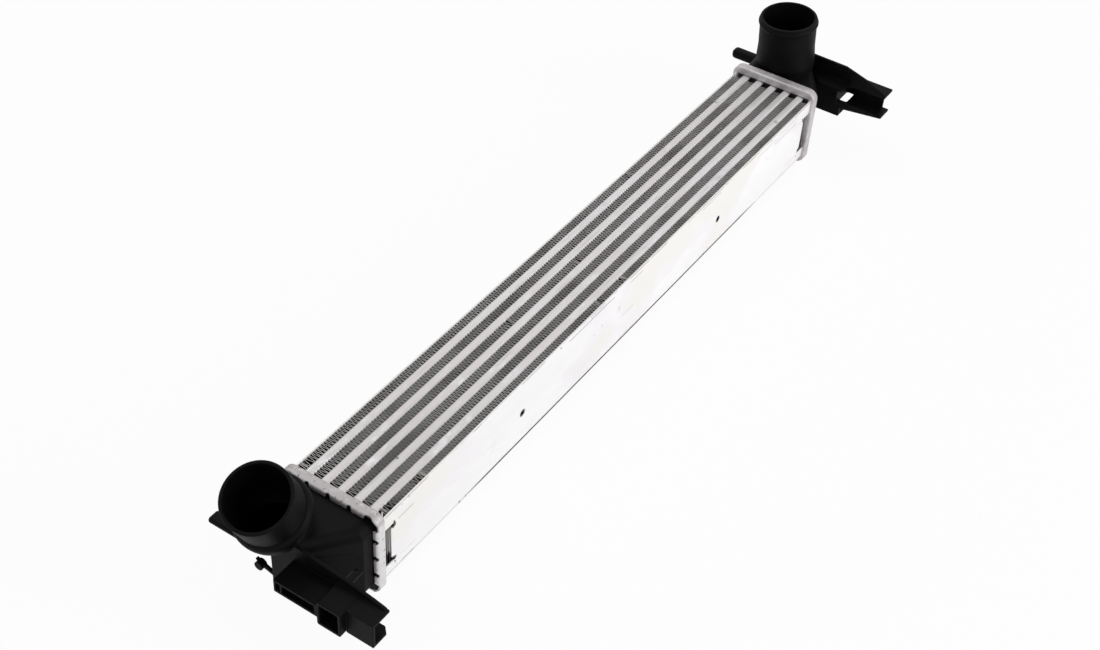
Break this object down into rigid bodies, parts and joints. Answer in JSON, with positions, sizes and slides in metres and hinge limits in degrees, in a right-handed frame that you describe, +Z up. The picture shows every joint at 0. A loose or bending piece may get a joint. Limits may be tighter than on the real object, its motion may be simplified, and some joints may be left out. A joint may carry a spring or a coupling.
{
  "type": "intercooler",
  "caption": "Charge air cooler: long finned aluminium core with crimped header plates, black moulded end tanks, hose spigots and mounting arms.",
  "frame": {"origin": "centre of the finned core", "axes": "+X along the core toward the tank with the upright spigot, +Z up toward the hose ends, -Y toward the side plate that carries the long arms' ends"},
  "size_m": [0.8237, 0.1635, 0.1303],
  "materials": {
    "tank_plastic": "satin moulded, glass-filled",
    "header_aluminium": "brazed, matt",
    "tube_aluminium": "brazed, matt",
    "plate_aluminium": "brazed, matt",
    "fin_aluminium": "brazed, matt",
    "turbulator_aluminium": "brazed, matt",
    "gasket_rubber": "matt"
  },
  "bodies": {
    "root": {"end_tank_left": "tank_plastic", "end_tank_right": "tank_plastic", "header_plate_left": "header_aluminium", "header_plate_right": "header_aluminium", "header_gasket_left": "gasket_rubber", "header_gasket_right": "gasket_rubber", "side_plate_front": "plate_aluminium", "side_plate_back": "plate_aluminium", "charge_tube_1": "tube_aluminium", "charge_tube_2": "tube_aluminium", "charge_tube_3": "tube_aluminium", "charge_tube_4": "tube_aluminium", "charge_tube_5": "tube_aluminium", "turbulator_1": "turbulator_aluminium", "turbulator_2": "turbulator_aluminium", "turbulator_3": "turbulator_aluminium", "turbulator_4": "turbulator_aluminium", "turbulator_5": "turbulator_aluminium", "air_fin_1": "fin_aluminium", "air_fin_2": "fin_aluminium", "air_fin_3": "fin_aluminium", "air_fin_4": "fin_aluminium", "air_fin_5": "fin_aluminium", "air_fin_6": "fin_aluminium"}
  },
  "joints": []
}
